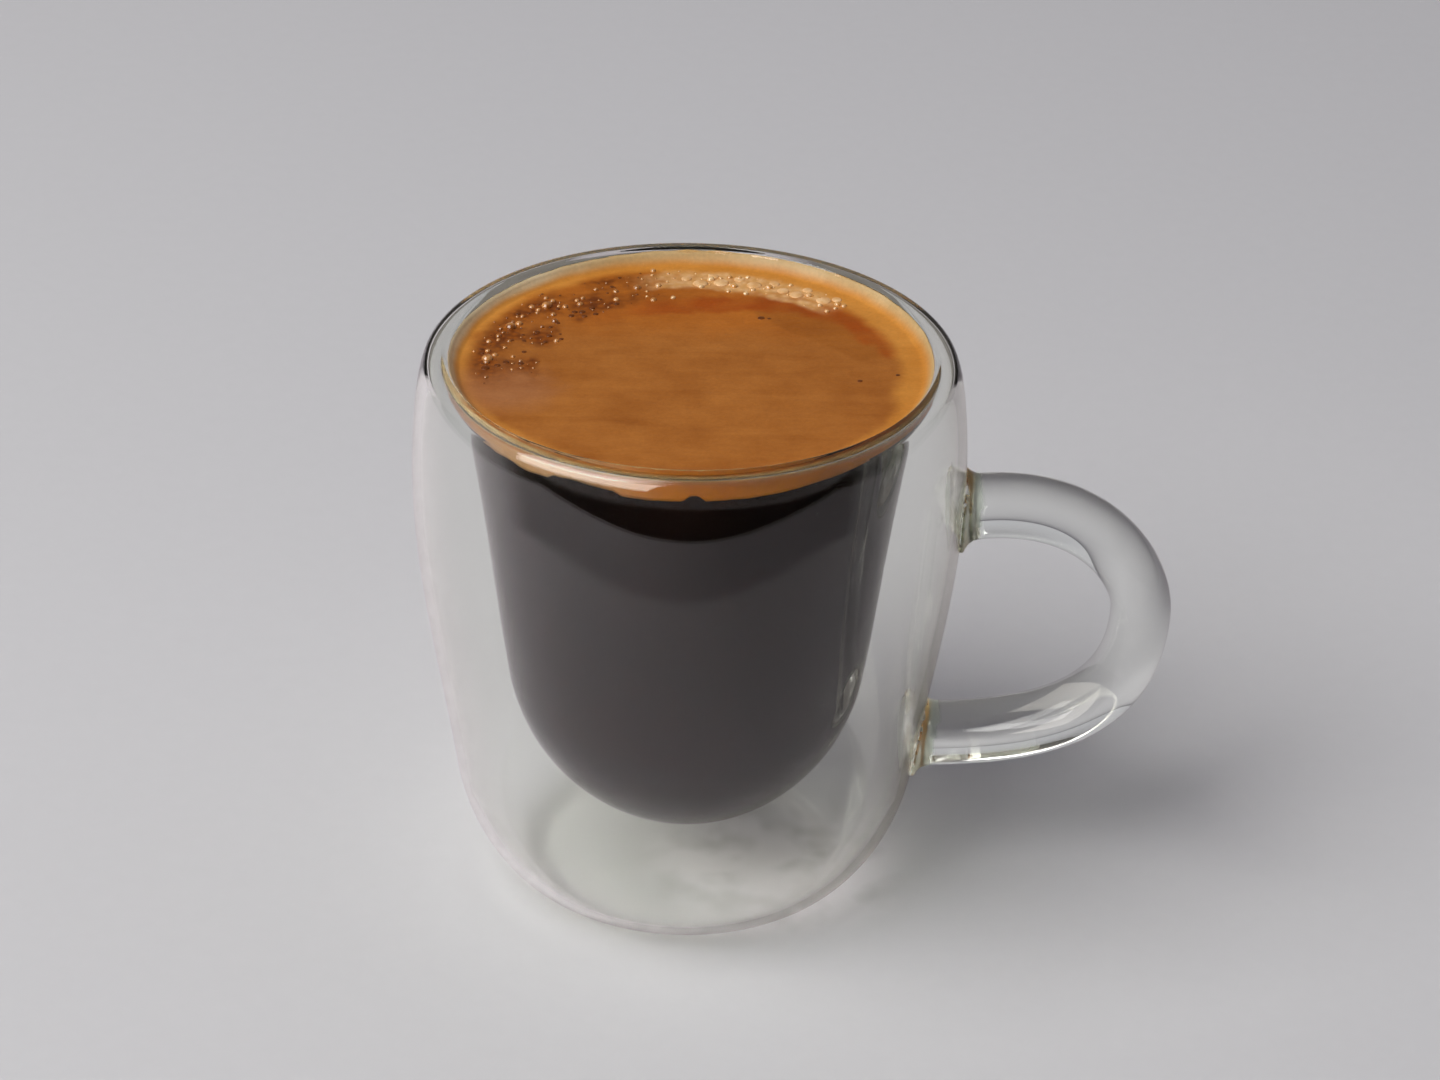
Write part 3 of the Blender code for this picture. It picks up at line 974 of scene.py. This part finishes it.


# Floor: a matt pale sheet. Only mirrored rays see its edge in front of the mug and dark beyond it, a painted
# reflection which draws the V on the coffee
def floorFinish():
    made, tree = material("matt paper sheet")
    place = add(tree, "ShaderNodeTexCoord")
    axes = add(tree, "ShaderNodeSeparateXYZ", {0: place.outputs["Object"]})
    front = add(tree, "ShaderNodeMath", {
        0: axes.outputs["Y"],
        1: stage["sheetFront"],
    }, operation="LESS_THAN")
    left = add(tree, "ShaderNodeMath", {
        0: axes.outputs["X"],
        1: stage["sheetLeft"],
    }, operation="LESS_THAN")
    right = add(tree, "ShaderNodeMath", {
        0: axes.outputs["X"],
        1: stage["sheetRight"],
    }, operation="GREATER_THAN")
    sides = add(tree, "ShaderNodeMath", {0: left.outputs[0], 1: right.outputs[0]}, operation="MAXIMUM")
    beyond = add(tree, "ShaderNodeMath", {
        0: front.outputs[0],
        1: sides.outputs[0],
    }, operation="MAXIMUM")
    path = add(tree, "ShaderNodeLightPath")
    # painted shade: mirrored rays see the sheet darker towards the right
    shade = add(tree, "ShaderNodeMapRange", {
        "Value": axes.outputs["X"],
        "From Min": stage["mirroredFrom"],
        "From Max": stage["mirroredTo"],
        "To Min": stage["mirroredShade"][0],
        "To Max": stage["mirroredShade"][1],
    })
    mirrored = add(tree, "ShaderNodeMath", {
        0: path.outputs["Glossy Depth"],
        1: 1.0,
        2: 0.5,
    }, operation="COMPARE")
    # painted shade: the vessel wall's reflection on the coffee is darkened, as deep mirrored rays see the floor
    # dark past the ring
    deep = add(tree, "ShaderNodeMath", {
        0: path.outputs["Transmission Depth"],
        1: 3.5,
    }, operation="GREATER_THAN")
    ringAway = add(tree, "ShaderNodeVectorMath", {
        0: place.outputs["Object"],
        1: (0, stage["ringCentre"], 0),
    }, operation="DISTANCE")
    ahead = add(tree, "ShaderNodeMapRange", {
        "Value": ringAway.outputs["Value"],
        "From Min": stage["ringRadii"][0],
        "From Max": stage["ringRadii"][1],
    })
    atSides = add(tree, "ShaderNodeMapRange", {
        "Value": axes.outputs["Y"],
        "From Min": stage["ringSides"][0],
        "From Max": stage["ringSides"][1],
    })
    facing = add(tree, "ShaderNodeMath", {
        0: ahead.outputs[0],
        1: atSides.outputs[0],
    }, operation="MULTIPLY")
    inner = add(tree, "ShaderNodeMath", {
        0: deep.outputs[0],
        1: facing.outputs[0],
    }, operation="MULTIPLY")
    most = add(tree, "ShaderNodeMath", {0: beyond.outputs[0], 1: inner.outputs[0]}, operation="MAXIMUM")
    shaded = add(tree, "ShaderNodeMath", {0: most.outputs[0], 1: shade.outputs[0]}, operation="MAXIMUM")
    hidden = add(tree, "ShaderNodeMath", {
        0: shaded.outputs[0],
        1: mirrored.outputs[0],
    }, operation="MULTIPLY")
    # a painted pool of light: the sheet is paler in a cloudy patch under the mug, where the clear base gathers
    # light
    away = add(tree, "ShaderNodeVectorMath", {
        0: place.outputs["Object"],
        1: stage["gatheredCentre"],
    }, operation="DISTANCE")
    gathered = add(tree, "ShaderNodeMapRange", {
        "Value": away.outputs["Value"],
        "From Min": stage["gatheredRadii"][0],
        "From Max": stage["gatheredRadii"][1],
    }, interpolation_type="SMOOTHSTEP")
    clouds = add(tree, "ShaderNodeTexNoise", {
        "Vector": place.outputs["Object"],
        "Scale": 1 / stage["cloudSize"],
        "Detail": 2.0,
    })
    cloudy = add(tree, "ShaderNodeMapRange", {
        "Value": clouds.outputs[0],
        "From Min": 0.30,
        "From Max": 0.55,
    })
    lightShare = add(tree, "ShaderNodeMath", {
        0: gathered.outputs[0],
        1: cloudy.outputs[0],
    }, operation="MULTIPLY")
    fibres = add(tree, "ShaderNodeTexNoise", {
        "Vector": place.outputs["Object"],
        "Scale": 1 / stage["fibreSize"],
        "Detail": 3.0,
    })
    mottle = add(tree, "ShaderNodeMapRange", {
        "Value": fibres.outputs[0],
        "To Min": 0.985,
        "To Max": 1.015,
    })
    sheet = add(tree, "ShaderNodeMix", {
        "Factor": lightShare.outputs[0],
        "A": tone(stage["sheetColour"]),
        "B": tone(stage["gatheredColour"]),
    }, data_type="RGBA")
    # painted reflection: mirrored rays see the sheet paler and pinker
    seen = add(tree, "ShaderNodeMix", {
        "Factor": mirrored.outputs[0],
        "A": sheet.outputs[2],
        "B": tone(stage["mirroredColour"]),
    }, data_type="RGBA")
    mottled = add(tree, "ShaderNodeMix", {
        "Factor": 1.0,
        "A": seen.outputs[2],
        "B": mottle.outputs[0],
    }, data_type="RGBA", blend_type="MULTIPLY")
    paper = add(tree, "ShaderNodeBsdfDiffuse", {"Color": mottled.outputs[2]})
    dark = add(tree, "ShaderNodeBsdfDiffuse", {"Color": stage["beyondSheet"]})
    mix = add(tree, "ShaderNodeMixShader", {
        0: hidden.outputs[0],
        1: paper.outputs[0],
        2: dark.outputs[0],
    })
    add(tree, "ShaderNodeOutputMaterial", {"Surface": mix.outputs[0]})
    return made


half = stage["floorSize"] / 2
floorCorners = [(-half, -half, 0), (half, -half, 0), (half, half, 0), (-half, half, 0)]
floorMesh = meshFrom("floor", floorCorners, [(0, 1, 2, 3)], False)
floorMesh.materials.append(floorFinish())
floor = placed("floor", floorMesh)
floor.location.z = -0.1 * mm  # clear of the foot's underside


def areaLight(name, aimHeight):  # turned towards the mug's axis at this height
    place = Vector(stage[name + "Place"])
    width, height = stage[name + "Size"]
    lamp = bpy.data.lights.new(name + "Light", "AREA")
    lamp.shape = "RECTANGLE"
    lamp.size, lamp.size_y = width, height
    lamp.energy = stage[name + "Radiance"] * pi * width * height
    lamp.color = tone(stage[name + "Colour"])[:3]
    thing = bpy.data.objects.new(name + "Light", lamp)
    thing.location = place
    thing.rotation_euler = (Vector((0, 0, aimHeight)) - place).to_track_quat("-Z", "Y").to_euler()
    scene.collection.objects.link(thing)
    return thing


areaLight("key", 30 * mm)
strip = areaLight("strip", 60 * mm)
strip.visible_diffuse = False  # only glossy and clear surfaces show it

# Room: brighter towards the back, as the mug sees it, and plain as the camera sees it
world = bpy.data.worlds.new("studio")
scene.world = world
world.use_nodes = True
worldTree = world.node_tree
worldTree.nodes.clear()
place = add(worldTree, "ShaderNodeTexCoord")
axes = add(worldTree, "ShaderNodeSeparateXYZ", {0: place.outputs["Generated"]})
room = add(worldTree, "ShaderNodeMapRange", {
    "Value": axes.outputs["Y"],
    "From Min": stage["roomFront"],
    "From Max": 0.0,
    "To Min": stage["roomLevels"][0],
    "To Max": stage["roomLevels"][1],
})
path = add(worldTree, "ShaderNodeLightPath")
depths = add(worldTree, "ShaderNodeMath", {
    0: path.outputs["Glossy Depth"],
    1: path.outputs["Diffuse Depth"],
}, operation="ADD")
bounced = add(worldTree, "ShaderNodeMath", {0: depths.outputs[0], 1: 0.5}, operation="GREATER_THAN")
again = add(worldTree, "ShaderNodeMath", {
    0: path.outputs["Glossy Depth"],
    1: 1.5,
}, operation="GREATER_THAN")
lifted = add(worldTree, "ShaderNodeMath", {
    0: again.outputs[0],
    1: stage["roomLift"],
    2: room.outputs[0],
}, operation="MULTIPLY_ADD")
mirrored = add(worldTree, "ShaderNodeMath", {
    0: path.outputs["Glossy Depth"],
    1: 0.5,
}, operation="GREATER_THAN")
roomTint = add(worldTree, "ShaderNodeMix", {
    "Factor": mirrored.outputs[0],
    "A": tone(stage["roomTint"]),
    "B": tone(stage["mirroredRoomTint"]),
}, data_type="RGBA")
roomColour = add(worldTree, "ShaderNodeMix", {
    "Factor": 1.0,
    "A": roomTint.outputs[2],
    "B": lifted.outputs[0],
}, data_type="RGBA", blend_type="MULTIPLY")
shown = add(worldTree, "ShaderNodeMix", {
    "Factor": bounced.outputs[0],
    "A": tone(stage["backdrop"]),
    "B": roomColour.outputs[2],
}, data_type="RGBA")
background = add(worldTree, "ShaderNodeBackground", {"Color": shown.outputs[2], "Strength": 1.0})
add(worldTree, "ShaderNodeOutputWorld", {"Surface": background.outputs[0]})

view = {
    "lens": 110.76,
    "target": (3.574 * mm, 0, 41.682 * mm),
    "distance": 0.5,
    "elevation": 29.094,
    "roll": 1.189,
}
lens = bpy.data.cameras.new("camera")
lens.lens = view["lens"]
lens.sensor_width = 36
lens.clip_start = 0.01
camera = bpy.data.objects.new("camera", lens)
tilted = Matrix.Rotation(radians(90 - view["elevation"]), 4, "X")
turn = tilted @ Matrix.Rotation(radians(view["roll"]), 4, "Z")
back = turn @ Vector((0, 0, 1))
camera.matrix_world = Matrix.Translation(Vector(view["target"]) + view["distance"] * back) @ turn
scene.collection.objects.link(camera)
scene.camera = camera
scene.view_settings.view_transform = "Standard"
scene.cycles.blur_glossy = 0.0  # keeps what is seen through the glass sharp and bright
scene.cycles.glossy_bounces = 64
scene.cycles.transmission_bounces = 32
scene.cycles.max_bounces = 96
print("stage made")
